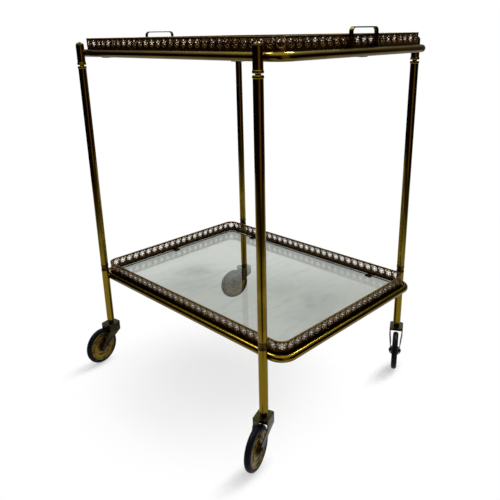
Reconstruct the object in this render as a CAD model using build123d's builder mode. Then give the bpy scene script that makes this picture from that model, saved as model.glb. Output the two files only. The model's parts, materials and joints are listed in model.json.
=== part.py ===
from build123d import *
import math
import os

# A two-tier serving trolley in brass: two tube rails on four legs, a pierced
# gallery round each tier, a glass shelf below, a lift-off glass tray above and
# four swivel casters. The origin is on the floor under the middle of the tiers,
# +X runs to the right along the long side, +Y runs away and +Z is up.

os.makedirs("parts", exist_ok=True)

# Driving dimensions, in millimetres

# Wheels
TYRE_R = 41.0
TYRE_W = 12.0
TREAD_R = 5.0
SEAT_R = 31.0
TONGUE_W = 8.6
SEAT_GAP = 0.05
FLANGE_H = 2.0
FLANGE_T = 1.1
FLANGE_FOOT = 1.5
WEB_T = 8.0
RING_STEP = 1.2
OUTER_RING_R = 20.0
INNER_RING_R = 12.0
RING_W = 1.8
BOSS_R = 8.5
AXLE_R = 3.0
BORE_GAP = 0.05
HUB_GAP = 0.4

# Caster forks
TRAIL = 34.0
TYRE_TO_HOOD = 2.5
HOOD_T = 2.0
HOOD_L = 32.0
HOOD_W = 29.0
HOOD_CORNER = 5.0
HOOD_BACK_H = 18.5
HOOD_SIDE_H = 14.5
HOOD_LIP_H = 7.0
CHEEK_T = 1.6
CHEEK_W = 22.0
CHEEK_NECK_DROP = 16.5
CHEEK_FLAT_OVER_AXLE = 9.0
AXLE_BOSS_R = 7.0
AXLE_HEAD_R = 5.5
AXLE_HEAD_H = 2.5

# Caster stems
PIN_R = 4.5
PIN_GAP = 0.05
PIN_HEAD_R = 7.5
PIN_HEAD_H = 2.2
SWIVEL_GAP = 0.3
NECK_R = 6.0
NECK_H = 8.2
PLUG_L = 25.0
PLUG_GAP = 0.02

# Rest directions of the four casters, from leg to wheel, in degrees from +X
TRAIL_ANGLES = {
    "front_left": -80.0,
    "front_right": -70.3,
    "back_left": -104.5,
    "back_right": -61.0,
}

# Rails
RAIL_R = 7.0
RAIL_WALL = 1.2
RAIL_HALF_X = 280.0
RAIL_HALF_Y = 203.3
RAIL_BEND = 27.0
LOWER_Z = 199.0
TIER_RISE = 489.3

# Legs
LEG_R = 8.0
LEG_WALL = 1.2
LEG_X = 248.0
SADDLE = 0.6
BRAZE_GAP = 0.05
STUB_OVER_RAIL = 19.0
COLLAR_H = 14.5
COLLAR_R = 8.4
COLLAR_WAIST_R = 7.7
COLLAR_LIP_H = 1.6
JOINER_L = 40.0
GROOVE_UNDER_RAIL = 24.5
GROOVE_H = 2.3
GROOVE_R = 4.5
BEAD_R = 8.9
BEAD_H = 4.9
END_PLUG_L = 13.0
CAP_OVER_RAIL = 21.7
DOME_H = 5.5
CAP_SPIGOT_L = 8.0

# Pierced galleries
WALL_T = 1.5
WALL_DROP = 6.0
BAND_TOP = 11.0
PIERCED_H = 15.0
RIM_H = 2.4
RIM_W = 3.2
RIM_ROUND = 1.0
MOTIF_PITCH = 18.0
CORNER_TAIL = 11.4
CORNER_RINGS = 3
RING_OUT = 8.3
RING_IN = 6.4
CUSPS = 6
CUSP_W = 1.2
CUSP_KNOB_R = 0.95
CUSP_KNOB_OUT = 3.2
TOP_STRIP = 0.6
VEE_SINK = 4.6
TOOTH_W = 5.0
TOOTH_H = 3.4

# Lower shelf
SHELF_GLASS_T = 5.0
GLASS_GAP = 0.4
TAB_T = 3.0
TAB_W = 14.0
TAB_REACH = 8.5
TAB_X = 185.0

# Lift-off tray
TRAY_GAP = 0.6
LEDGE_W = 8.0
LEDGE_T = 1.0
TRAY_GLASS_T = 4.0
REST_T = 2.0
REST_W = 16.0
REST_REACH = 11.0

# Tray handles
HANDLE_W = 73.0
HANDLE_STRAP_W = 7.5
HANDLE_STRAP_T = 2.0
HANDLE_BEND = 7.0
HANDLE_OVER_RIM = 11.3
HANDLE_FOOT_DROP = 20.4
HANDLE_RIM_GAP = 0.05
PAD_L = 9.0
PAD_H = 6.0
PAD_T = 1.4
RIVET_R = 1.5
RIVET_HEAD_R = 2.4
RIVET_HEAD_H = 0.9
RIVET_GAP = 0.02
RIVET_OVER_RAIL = 8.2

# Heights and places worked out from them
AXLE_Z = TYRE_R
HUB_HALF = CHEEK_W / 2 - CHEEK_T - HUB_GAP
HOOD_Z = 2 * TYRE_R + TYRE_TO_HOOD
HOOD_TOP = HOOD_Z + HOOD_T
NECK_Z = HOOD_TOP + SWIVEL_GAP
LEG_Z = NECK_Z + NECK_H
UPPER_Z = LOWER_Z + TIER_RISE
LEG_Y = RAIL_HALF_Y + RAIL_R + LEG_R - SADDLE
LEG_BORE = LEG_R - LEG_WALL
COLLAR_Z = LOWER_Z + STUB_OVER_RAIL
TUBE_Z = COLLAR_Z + COLLAR_H
GROOVE_Z = UPPER_Z - GROOVE_UNDER_RAIL
SLEEVE_Z = GROOVE_Z + GROOVE_H
SLEEVE_TOP = UPPER_Z + CAP_OVER_RAIL - DOME_H
RING_OVER_RAIL = BAND_TOP + PIERCED_H / 2
RIM_OVER_RAIL = BAND_TOP + PIERCED_H
WALL_H = WALL_DROP + RIM_OVER_RAIL
CORNERS = {
    "front_left": (-1, -1),
    "front_right": (1, -1),
    "back_left": (-1, 1),
    "back_right": (1, 1),
}
SIDES = {"left": 180.0, "right": 0.0, "front": 270.0, "back": 90.0}


def save(piece, label):
    """Label a finished piece and write it as its own file."""
    piece.part.label = label
    export_step(piece.part, f"parts/{label}.step")


def upright(x, y, z, angle):
    """A vertical plane through a point that faces the given direction, with its own x level."""
    a = math.radians(angle)
    return Plane((x, y, z), x_dir=(-math.sin(a), math.cos(a), 0), z_dir=(math.cos(a), math.sin(a), 0))


def wall_half(gap):
    """Half sizes of a gallery's outer face, and the radius of its corners."""
    inset = RAIL_R + gap
    return RAIL_HALF_X - inset, RAIL_HALF_Y - inset, RAIL_BEND - inset


# Rails: one round tube bent into a rounded rectangle


def make_rail(label, z):
    with BuildSketch(Plane.XY.offset(z)) as outline:
        RectangleRounded(2 * RAIL_HALF_X, 2 * RAIL_HALF_Y, RAIL_BEND)
    path = outline.sketch.face().outer_wire()
    with BuildPart() as rail:
        with BuildSketch(Plane(path @ 0, z_dir=path % 0)):
            Circle(RAIL_R)
            Circle(RAIL_R - RAIL_WALL, mode=Mode.SUBTRACT)
        sweep(path=path)
    save(rail, label)


make_rail("lower_rail", LOWER_Z)
make_rail("upper_rail", UPPER_Z)


# Legs: a stub, a long tube and a capped sleeve, joined by hidden pins


def cut_saddle(x, side, z):
    """Let the open part into the rail at the given height by cutting out the rail's section."""
    with BuildSketch(Plane.YZ.offset(x)) as rail_section:
        with Locations((side * RAIL_HALF_Y, z)):
            Circle(RAIL_R + BRAZE_GAP)
    extrude(rail_section.sketch, amount=2 * LEG_R, both=True, mode=Mode.SUBTRACT)


def make_leg(name, side_x, side_y):
    x = side_x * LEG_X
    y = side_y * LEG_Y
    axis = Axis((x, y, 0), (0, 0, 1))
    half_section = Plane((x, y, 0), x_dir=(1, 0, 0), z_dir=(0, -1, 0))

    with BuildPart() as stub:
        with BuildSketch(Plane((x, y, LEG_Z))):
            Circle(LEG_R)
            Circle(LEG_BORE, mode=Mode.SUBTRACT)
        extrude(amount=COLLAR_Z - LEG_Z)
        cut_saddle(x, side_y, LOWER_Z)
    save(stub, f"leg_stub_{name}")

    with BuildPart() as tube:
        with BuildSketch(half_section):
            with BuildLine():
                bead = ThreePointArc(
                    (LEG_R, GROOVE_Z - BEAD_H),
                    (BEAD_R, GROOVE_Z - BEAD_H / 2),
                    (LEG_R, GROOVE_Z),
                )
                Polyline(
                    bead @ 1,
                    (GROOVE_R + PLUG_GAP, GROOVE_Z),
                    (GROOVE_R + PLUG_GAP, GROOVE_Z - END_PLUG_L),
                    (LEG_BORE, GROOVE_Z - END_PLUG_L),
                    (LEG_BORE, TUBE_Z),
                    (LEG_R, TUBE_Z),
                    bead @ 0,
                )
            make_face()
        revolve(axis=axis)
    save(tube, f"leg_tube_{name}")

    with BuildPart() as sleeve:
        with BuildSketch(half_section):
            with BuildLine():
                bead = ThreePointArc(
                    (LEG_R, SLEEVE_Z),
                    (BEAD_R, SLEEVE_Z + BEAD_H / 2),
                    (LEG_R, SLEEVE_Z + BEAD_H),
                )
                Polyline(
                    bead @ 1,
                    (LEG_R, SLEEVE_TOP),
                    (LEG_BORE, SLEEVE_TOP),
                    (LEG_BORE, SLEEVE_Z + END_PLUG_L),
                    (GROOVE_R + PLUG_GAP, SLEEVE_Z + END_PLUG_L),
                    (GROOVE_R + PLUG_GAP, SLEEVE_Z),
                    bead @ 0,
                )
            make_face()
        revolve(axis=axis)
        cut_saddle(x, side_y, UPPER_Z)
    save(sleeve, f"leg_sleeve_{name}")


for corner, (side_x, side_y) in CORNERS.items():
    make_leg(corner, side_x, side_y)

LEG_PLACES = [(sx * LEG_X, sy * LEG_Y) for sx, sy in CORNERS.values()]

with BuildPart() as leg_collars:
    with BuildSketch(Plane.XZ):
        with BuildLine():
            waist = ThreePointArc(
                (COLLAR_R, COLLAR_Z + COLLAR_LIP_H),
                (COLLAR_WAIST_R, COLLAR_Z + COLLAR_H / 2),
                (COLLAR_R, TUBE_Z - COLLAR_LIP_H),
            )
            Polyline(
                waist @ 1,
                (COLLAR_R, TUBE_Z),
                (LEG_BORE, TUBE_Z),
                (LEG_BORE, COLLAR_Z),
                (COLLAR_R, COLLAR_Z),
                waist @ 0,
            )
        make_face()
    collar = revolve(axis=Axis.Z, mode=Mode.PRIVATE)
    with Locations(*LEG_PLACES):
        add(collar)
save(leg_collars, "leg_collars")

with BuildPart() as leg_joiners:
    with BuildSketch(Plane.XY.offset(COLLAR_Z + COLLAR_H / 2 - JOINER_L / 2)):
        with Locations(*LEG_PLACES):
            Circle(LEG_BORE - PLUG_GAP)
    extrude(amount=JOINER_L)
save(leg_joiners, "leg_joiners")

with BuildPart() as leg_neck_pins:
    with BuildSketch(Plane.XY.offset(GROOVE_Z - END_PLUG_L)):
        with Locations(*LEG_PLACES):
            Circle(GROOVE_R)
    extrude(amount=2 * END_PLUG_L + GROOVE_H)
save(leg_neck_pins, "leg_neck_pins")

with BuildPart() as leg_caps:
    with BuildSketch(Plane.XZ):
        with BuildLine():
            dome = TangentArc((0, SLEEVE_TOP + DOME_H), (LEG_R, SLEEVE_TOP), tangent=(1, 0))
            Polyline(
                dome @ 1,
                (LEG_BORE - PLUG_GAP, SLEEVE_TOP),
                (LEG_BORE - PLUG_GAP, SLEEVE_TOP - CAP_SPIGOT_L),
                (0, SLEEVE_TOP - CAP_SPIGOT_L),
                dome @ 0,
            )
        make_face()
    cap = revolve(axis=Axis.Z, mode=Mode.PRIVATE)
    with Locations(*LEG_PLACES):
        add(cap)
save(leg_caps, "leg_caps")


# Galleries: a pierced wall of four flat panels and four corners under a bead rim

# One ring's opening, with straight cusps pointing in, each ending in a round knob
with BuildSketch() as cusp:
    with Locations((CUSP_KNOB_OUT, 0)):
        Circle(CUSP_KNOB_R)
        Rectangle(RING_OUT - CUSP_KNOB_OUT, CUSP_W, align=(Align.MIN, Align.CENTER))

with BuildSketch() as ring_opening:
    Circle(RING_IN)
    with PolarLocations(0, CUSPS):
        add(cusp.sketch, mode=Mode.SUBTRACT)

# The opening between two rings, under the rim, with a tooth hanging in it
VEE_TOP = PIERCED_H / 2 - TOP_STRIP
with BuildSketch() as vee_opening:
    with Locations((0, VEE_TOP - VEE_SINK / 2)):
        Rectangle(MOTIF_PITCH, VEE_SINK)
    with GridLocations(MOTIF_PITCH, 0, 2, 1):
        Circle(RING_OUT, mode=Mode.SUBTRACT)
    with BuildLine():
        Polyline(
            (-TOOTH_W / 2, VEE_TOP),
            (0, VEE_TOP - TOOTH_H),
            (TOOTH_W / 2, VEE_TOP),
            close=True,
        )
    make_face(mode=Mode.SUBTRACT)


def make_panel(label, gap, z, side, rivets_at):
    """One flat panel of a gallery; rivets_at lists where its handle's rivets pass."""
    half_x, half_y, bend = wall_half(gap)
    along_x = side in ("front", "back")
    length = 2 * ((half_x if along_x else half_y) - bend - CORNER_TAIL)
    count = round(length / MOTIF_PITCH)
    pitch = length / count
    angle = math.radians(SIDES[side])
    face = upright(half_x * math.cos(angle), half_y * math.sin(angle), z, SIDES[side])
    with BuildPart() as panel:
        with BuildSketch(face):
            with Locations((0, WALL_H / 2 - WALL_DROP)):
                Rectangle(length, WALL_H)
            with Locations((0, RING_OVER_RAIL)):
                with GridLocations(pitch, 0, count, 1):
                    add(ring_opening.sketch, mode=Mode.SUBTRACT)
                with GridLocations(pitch, 0, count + 1, 1):
                    add(vee_opening.sketch, mode=Mode.SUBTRACT)
            if rivets_at:
                with Locations(*[(u, RIVET_OVER_RAIL) for u in rivets_at]):
                    Circle(RIVET_R + RIVET_GAP, mode=Mode.SUBTRACT)
        extrude(amount=-WALL_T)
    save(panel, label)


def make_corners(label, gap, z):
    """The four corners, each a quarter round with two straight tails. A ring stands on the diagonal, and the
    rings beside it stand on the tails."""
    half_x, half_y, bend = wall_half(gap)
    centre_x = half_x - bend
    centre_y = half_y - bend
    joint_x = centre_x - CORNER_TAIL
    joint_y = centre_y - CORNER_TAIL
    quarter = bend * math.pi / 2
    pitch = (quarter + 2 * CORNER_TAIL) / CORNER_RINGS
    vee_turn = math.degrees(pitch / 2 / bend)
    ring_x = centre_x + quarter / 2 - pitch
    ring_y = centre_y + quarter / 2 - pitch
    ring_z = z + RING_OVER_RAIL
    with BuildPart() as corners:
        with BuildSketch(Plane.XY.offset(z - WALL_DROP)):
            RectangleRounded(2 * half_x, 2 * half_y, bend)
            RectangleRounded(
                2 * (half_x - WALL_T), 2 * (half_y - WALL_T), bend - WALL_T, mode=Mode.SUBTRACT
            )
            Rectangle(2 * joint_x, 2 * half_y, mode=Mode.SUBTRACT)
            Rectangle(2 * half_x, 2 * joint_y, mode=Mode.SUBTRACT)
        extrude(amount=WALL_H)
        for side_x, side_y in CORNERS.values():
            middle = math.degrees(math.atan2(side_y, side_x))
            for turn, opening in (
                (-vee_turn, vee_opening),
                (0, ring_opening),
                (vee_turn, vee_opening),
            ):
                with BuildSketch(upright(side_x * centre_x, side_y * centre_y, ring_z, middle + turn)):
                    add(opening.sketch)
                extrude(amount=2 * bend, mode=Mode.SUBTRACT)
            for along_x, along_y, opening in (
                (joint_x, joint_y, vee_opening),
                (ring_x, ring_y, ring_opening),
            ):
                for face in (
                    upright(side_x * half_x, side_y * along_y, ring_z, 90 - 90 * side_x),
                    upright(side_x * along_x, side_y * half_y, ring_z, 90 * side_y),
                ):
                    with BuildSketch(face):
                        add(opening.sketch)
                    extrude(amount=2 * WALL_T, both=True, mode=Mode.SUBTRACT)
    save(corners, label)


def make_rim(label, gap, z):
    """The bead along the gallery's top edge, wider than the wall by the same step on each side."""
    half_x, half_y, bend = wall_half(gap)
    step = (RIM_W - WALL_T) / 2
    with BuildPart() as rim:
        with BuildSketch(Plane.XY.offset(z + RIM_OVER_RAIL)):
            RectangleRounded(2 * (half_x + step), 2 * (half_y + step), bend + step)
            RectangleRounded(
                2 * (half_x + step - RIM_W),
                2 * (half_y + step - RIM_W),
                bend + step - RIM_W,
                mode=Mode.SUBTRACT,
            )
        extrude(amount=RIM_H)
        fillet(rim.faces().sort_by(Axis.Z)[-1].edges(), radius=RIM_ROUND)
    save(rim, label)


def make_gallery(prefix, gap, z, rivets_at):
    for side in SIDES:
        places = rivets_at if side in ("left", "right") else []
        make_panel(f"{prefix}_gallery_{side}", gap, z, side, places)
    make_corners(f"{prefix}_gallery_corners", gap, z)
    make_rim(f"{prefix}_gallery_rim", gap, z)


RIVET_Y = HANDLE_W / 2 - PAD_L / 2

make_gallery("lower", BRAZE_GAP, LOWER_Z, [])
make_gallery("tray", TRAY_GAP, UPPER_Z, [-RIVET_Y, RIVET_Y])


# Lower shelf: a sheet of glass on six tabs inside the gallery

shelf_x, shelf_y, shelf_bend = wall_half(BRAZE_GAP + WALL_T)

with BuildPart() as lower_glass_tabs:
    with BuildSketch(Plane.XY.offset(LOWER_Z - WALL_DROP)):
        with GridLocations(2 * TAB_X, 2 * shelf_y - TAB_REACH, 2, 2):
            Rectangle(TAB_W, TAB_REACH)
        with GridLocations(2 * shelf_x - TAB_REACH, 0, 2, 1):
            Rectangle(TAB_REACH, TAB_W)
    extrude(amount=TAB_T)
save(lower_glass_tabs, "lower_glass_tabs")

with BuildPart() as lower_glass:
    with BuildSketch(Plane.XY.offset(LOWER_Z - WALL_DROP + TAB_T)):
        RectangleRounded(2 * (shelf_x - GLASS_GAP), 2 * (shelf_y - GLASS_GAP), shelf_bend - GLASS_GAP)
    extrude(amount=SHELF_GLASS_T)
save(lower_glass, "lower_glass")


# Tray: a ledge and a sheet of glass inside the upper gallery

tray_x, tray_y, tray_bend = wall_half(TRAY_GAP + WALL_T)

with BuildPart() as tray_ledge:
    with BuildSketch(Plane.XY.offset(UPPER_Z - WALL_DROP)):
        RectangleRounded(2 * tray_x, 2 * tray_y, tray_bend)
        RectangleRounded(
            2 * (tray_x - LEDGE_W), 2 * (tray_y - LEDGE_W), tray_bend - LEDGE_W, mode=Mode.SUBTRACT
        )
    extrude(amount=LEDGE_T)
save(tray_ledge, "tray_ledge")

with BuildPart() as tray_glass:
    with BuildSketch(Plane.XY.offset(UPPER_Z - WALL_DROP + LEDGE_T)):
        RectangleRounded(2 * (tray_x - GLASS_GAP), 2 * (tray_y - GLASS_GAP), tray_bend - GLASS_GAP)
    extrude(amount=TRAY_GLASS_T)
save(tray_glass, "tray_glass")

# Six rests brazed under the upper rail, on which the tray stands
with BuildPart() as tray_rests:
    with BuildSketch(Plane.XY.offset(UPPER_Z - WALL_DROP - REST_T)):
        with GridLocations(2 * TAB_X, 2 * RAIL_HALF_Y - REST_REACH - RAIL_R, 2, 2):
            Rectangle(REST_W, REST_REACH + RAIL_R)
        with GridLocations(2 * RAIL_HALF_X - REST_REACH - RAIL_R, 0, 2, 1):
            Rectangle(REST_REACH + RAIL_R, REST_W)
    extrude(amount=REST_T)
    with BuildSketch(Plane.YZ):
        with Locations((-RAIL_HALF_Y, UPPER_Z), (RAIL_HALF_Y, UPPER_Z)):
            Circle(RAIL_R + BRAZE_GAP)
    extrude(amount=RAIL_HALF_X - RAIL_BEND, both=True, mode=Mode.SUBTRACT)
    with BuildSketch(Plane.XZ):
        with Locations((-RAIL_HALF_X, UPPER_Z), (RAIL_HALF_X, UPPER_Z)):
            Circle(RAIL_R + BRAZE_GAP)
    extrude(amount=RAIL_HALF_Y - RAIL_BEND, both=True, mode=Mode.SUBTRACT)
save(tray_rests, "tray_rests")


# Tray handles: a flat strap bent into an upside-down U, riveted to the gallery's ends

outer_x = wall_half(TRAY_GAP)[0]
RIM_TOP = UPPER_Z + RIM_OVER_RAIL + RIM_H
STRAP_X = outer_x + (RIM_W - WALL_T) / 2 + HANDLE_RIM_GAP
HANDLE_TOP = RIM_TOP + HANDLE_OVER_RIM
HANDLE_FOOT = RIM_TOP - HANDLE_FOOT_DROP
RIVET_Z = UPPER_Z + RIVET_OVER_RAIL


def make_handle(label, side):
    facing = 90 - 90 * side
    leg_y = (HANDLE_W - HANDLE_STRAP_T) / 2
    top = HANDLE_TOP - HANDLE_FOOT - HANDLE_STRAP_T / 2
    with BuildPart() as handle:
        with BuildSketch(upright(side * STRAP_X, 0, HANDLE_FOOT, facing)):
            with BuildLine():
                FilletPolyline(
                    (-leg_y, 0), (-leg_y, top), (leg_y, top), (leg_y, 0), radius=HANDLE_BEND
                )
            trace(line_width=HANDLE_STRAP_T)
        extrude(amount=HANDLE_STRAP_W)
        with BuildSketch(upright(side * outer_x, 0, RIVET_Z, facing)):
            with GridLocations(HANDLE_W - PAD_L, 0, 2, 1):
                Rectangle(PAD_L, PAD_H)
                Circle(RIVET_R + RIVET_GAP, mode=Mode.SUBTRACT)
        extrude(amount=PAD_T)
    save(handle, label)


make_handle("tray_handle_left", -1)
make_handle("tray_handle_right", 1)

with BuildPart() as tray_handle_rivets:
    for side in (-1, 1):
        inside = outer_x - WALL_T
        outside = outer_x + PAD_T
        for start, length, radius in (
            (inside - RIVET_HEAD_H, RIVET_HEAD_H, RIVET_HEAD_R),
            (inside, outside - inside, RIVET_R),
            (outside, RIVET_HEAD_H, RIVET_HEAD_R),
        ):
            with BuildSketch(upright(side * start, 0, RIVET_Z, 90 - 90 * side)):
                with GridLocations(2 * RIVET_Y, 0, 2, 1):
                    Circle(radius)
            extrude(amount=length)
save(tray_handle_rivets, "tray_handle_rivets")


# Casters: a stem in the leg, a sheet fork that swivels on it, and a wheel with a rubber tyre

NECK_LINE_Z = HOOD_TOP - CHEEK_NECK_DROP
CHEEK_FLAT_Z = AXLE_Z + CHEEK_FLAT_OVER_AXLE
FORK_REACH = TRAIL + AXLE_BOSS_R + HOOD_L


def front_outline(inset, top, bottom):
    """The fork seen along its trail: wide at the hood, narrow and straight at the axle."""
    wide = HOOD_W / 2 - inset
    narrow = CHEEK_W / 2 - inset
    half = [(wide, top), (wide, NECK_LINE_Z), (narrow, CHEEK_FLAT_Z), (narrow, bottom)]
    return half + [(-n, z) for n, z in reversed(half)]


def tangent_point(point, centre, radius, turn):
    """Where the line from an outside point touches a circle, on the side given by turn."""
    dx = point[0] - centre[0]
    dz = point[1] - centre[1]
    angle = math.atan2(dz, dx) + turn * math.acos(radius / math.hypot(dx, dz))
    return centre[0] + radius * math.cos(angle), centre[1] + radius * math.sin(angle)


def side_outline():
    """The fork's side view: the hood above and the arm that narrows to the round axle boss."""
    half_l = HOOD_L / 2
    back = (-half_l, HOOD_TOP - HOOD_BACK_H)
    rim = (half_l, HOOD_TOP - HOOD_SIDE_H)
    boss = (TRAIL, AXLE_Z)
    low = tangent_point(back, boss, AXLE_BOSS_R, 1)
    high = tangent_point(rim, boss, AXLE_BOSS_R, -1)
    away = math.atan2(AXLE_Z - HOOD_Z, TRAIL)
    tip = (TRAIL + AXLE_BOSS_R * math.cos(away), AXLE_Z + AXLE_BOSS_R * math.sin(away))
    with BuildLine() as outline:
        Polyline(low, back, (-half_l, HOOD_TOP), (half_l, HOOD_TOP), rim, high)
        ThreePointArc(high, tip, low)
    make_face(outline.edges())


def hood_plan(inset, corner):
    """The fork from above, as long as its arm, with the two corners behind the stem rounded."""
    back = -HOOD_L / 2 + inset
    half_w = HOOD_W / 2 - inset
    with BuildLine() as outline:
        Polyline(
            (back + corner, half_w),
            (FORK_REACH, half_w),
            (FORK_REACH, -half_w),
            (back + corner, -half_w),
        )
        TangentArc((back + corner, -half_w), (back, corner - half_w), tangent=(-1, 0))
        Line((back, corner - half_w), (back, half_w - corner))
        TangentArc((back, half_w - corner), (back + corner, half_w), tangent=(0, 1))
    make_face(outline.edges())


def make_stem(name, x, y):
    head_z = HOOD_Z - SWIVEL_GAP
    with BuildPart() as stem:
        with BuildSketch(Plane((x, y, 0), x_dir=(1, 0, 0), z_dir=(0, -1, 0))):
            with BuildLine():
                Polyline(
                    (0, head_z - PIN_HEAD_H),
                    (PIN_HEAD_R, head_z - PIN_HEAD_H),
                    (PIN_HEAD_R, head_z),
                    (PIN_R, head_z),
                    (PIN_R, NECK_Z),
                    (NECK_R, NECK_Z),
                    (NECK_R, LEG_Z),
                    (LEG_BORE - PLUG_GAP, LEG_Z),
                    (LEG_BORE - PLUG_GAP, LEG_Z + PLUG_L),
                    (0, LEG_Z + PLUG_L),
                    close=True,
                )
            make_face()
        revolve(axis=Axis((x, y, 0), (0, 0, 1)))
    save(stem, f"caster_stem_{name}")


def make_fork(name, plan, profile, front):
    # The room inside the sheet fork, open below and toward the wheel under the front lip
    with BuildPart() as room:
        with BuildSketch(front):
            Polygon(*front_outline(CHEEK_T, HOOD_Z, 0), align=None)
        extrude(amount=FORK_REACH, both=True)
        with BuildSketch(plan):
            hood_plan(CHEEK_T, HOOD_CORNER - CHEEK_T)
        extrude(amount=HOOD_TOP, mode=Mode.INTERSECT)
        with BuildSketch(plan.offset(HOOD_TOP - HOOD_LIP_H)):
            with Locations((HOOD_L / 2 - CHEEK_T, 0)):
                Rectangle(FORK_REACH, HOOD_W, align=(Align.MIN, Align.CENTER))
        extrude(amount=HOOD_LIP_H, mode=Mode.SUBTRACT)

    with BuildPart() as fork:
        with BuildSketch(profile):
            side_outline()
        extrude(amount=HOOD_W / 2, both=True)
        with BuildSketch(front):
            Polygon(*front_outline(0, HOOD_TOP, 0), align=None)
        extrude(amount=FORK_REACH, both=True, mode=Mode.INTERSECT)
        with BuildSketch(plan):
            hood_plan(0, HOOD_CORNER)
        extrude(amount=HOOD_TOP, mode=Mode.INTERSECT)
        add(room.part, mode=Mode.SUBTRACT)
        with BuildSketch(plan):
            Circle(PIN_R + PIN_GAP)
        extrude(amount=HOOD_TOP, mode=Mode.SUBTRACT)
        with BuildSketch(profile):
            with Locations((TRAIL, AXLE_Z)):
                Circle(AXLE_R + PLUG_GAP)
        extrude(amount=HOOD_W, both=True, mode=Mode.SUBTRACT)
    save(fork, f"caster_fork_{name}")


def make_axle(name, wheel_plane, axle_line):
    half = CHEEK_W / 2
    with BuildPart() as axle:
        with BuildSketch(wheel_plane):
            with BuildLine():
                dome = TangentArc((half + AXLE_HEAD_H, 0), (half, AXLE_HEAD_R), tangent=(0, 1))
                Polyline(dome @ 1, (half, AXLE_R), (0, AXLE_R), (0, 0), dome @ 0)
            make_face()
            mirror(about=Plane.YZ)
        revolve(axis=axle_line)
    save(axle, f"caster_axle_{name}")


def make_wheel(name, wheel_plane, axle_line):
    web = WEB_T / 2
    groove = TONGUE_W / 2 + SEAT_GAP
    flange_r = SEAT_R + FLANGE_H
    with BuildPart() as wheel:
        with BuildSketch(wheel_plane):
            with BuildLine():
                Polyline(
                    (0, AXLE_R + BORE_GAP),
                    (HUB_HALF, AXLE_R + BORE_GAP),
                    (HUB_HALF, BOSS_R),
                    (web, BOSS_R),
                    (web, INNER_RING_R),
                    (web + RING_STEP, INNER_RING_R),
                    (web + RING_STEP, INNER_RING_R + RING_W),
                    (web, INNER_RING_R + RING_W),
                    (web, OUTER_RING_R),
                    (web + RING_STEP, OUTER_RING_R),
                    (web + RING_STEP, OUTER_RING_R + RING_W),
                    (web, OUTER_RING_R + RING_W),
                    (web, SEAT_R - FLANGE_FOOT),
                    (groove + FLANGE_T, SEAT_R - FLANGE_FOOT),
                    (groove + FLANGE_T, flange_r),
                    (groove, flange_r),
                    (groove, SEAT_R),
                    (0, SEAT_R),
                    close=True,
                )
            make_face()
            mirror(about=Plane.YZ)
        revolve(axis=axle_line)
    save(wheel, f"caster_wheel_{name}")


def make_tyre(name, wheel_plane, axle_line):
    half_w = TYRE_W / 2
    tongue = TONGUE_W / 2
    foot = SEAT_R + SEAT_GAP
    with BuildPart() as tyre:
        with BuildSketch(wheel_plane):
            with BuildLine():
                tread = TangentArc(
                    (half_w, TYRE_R - TREAD_R), (half_w - TREAD_R, TYRE_R), tangent=(0, 1)
                )
                Polyline(
                    tread @ 1,
                    (0, TYRE_R),
                    (0, foot),
                    (tongue, foot),
                    (tongue, foot + FLANGE_H),
                    (half_w, foot + FLANGE_H),
                    tread @ 0,
                )
            make_face()
            mirror(about=Plane.YZ)
        revolve(axis=axle_line)
    save(tyre, f"caster_tyre_{name}")


def make_caster(name, side_x, side_y, trail_angle):
    x = side_x * LEG_X
    y = side_y * LEG_Y
    a = math.radians(trail_angle)
    along = (math.cos(a), math.sin(a), 0)
    across = (-math.sin(a), math.cos(a), 0)
    plan = Plane((x, y, 0), x_dir=along, z_dir=(0, 0, 1))
    profile = Plane((x, y, 0), x_dir=along, z_dir=(math.sin(a), -math.cos(a), 0))
    front = Plane((x, y, 0), x_dir=across, z_dir=along)
    hub = (x + TRAIL * math.cos(a), y + TRAIL * math.sin(a), AXLE_Z)
    wheel_plane = Plane(hub, x_dir=across, z_dir=along)
    axle_line = Axis(hub, across)
    make_stem(name, x, y)
    make_fork(name, plan, profile, front)
    make_axle(name, wheel_plane, axle_line)
    make_wheel(name, wheel_plane, axle_line)
    make_tyre(name, wheel_plane, axle_line)


for corner, (side_x, side_y) in CORNERS.items():
    make_caster(corner, side_x, side_y, TRAIL_ANGLES[corner])
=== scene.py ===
"""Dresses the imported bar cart: aged brass, rubber and glass on the fixed frame, and a pale studio floor."""

import json
import math

import bmesh
import bpy
import numpy as np
from bpy.props import FloatProperty, FloatVectorProperty, IntProperty, PointerProperty
from mathutils import Matrix, Vector

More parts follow.
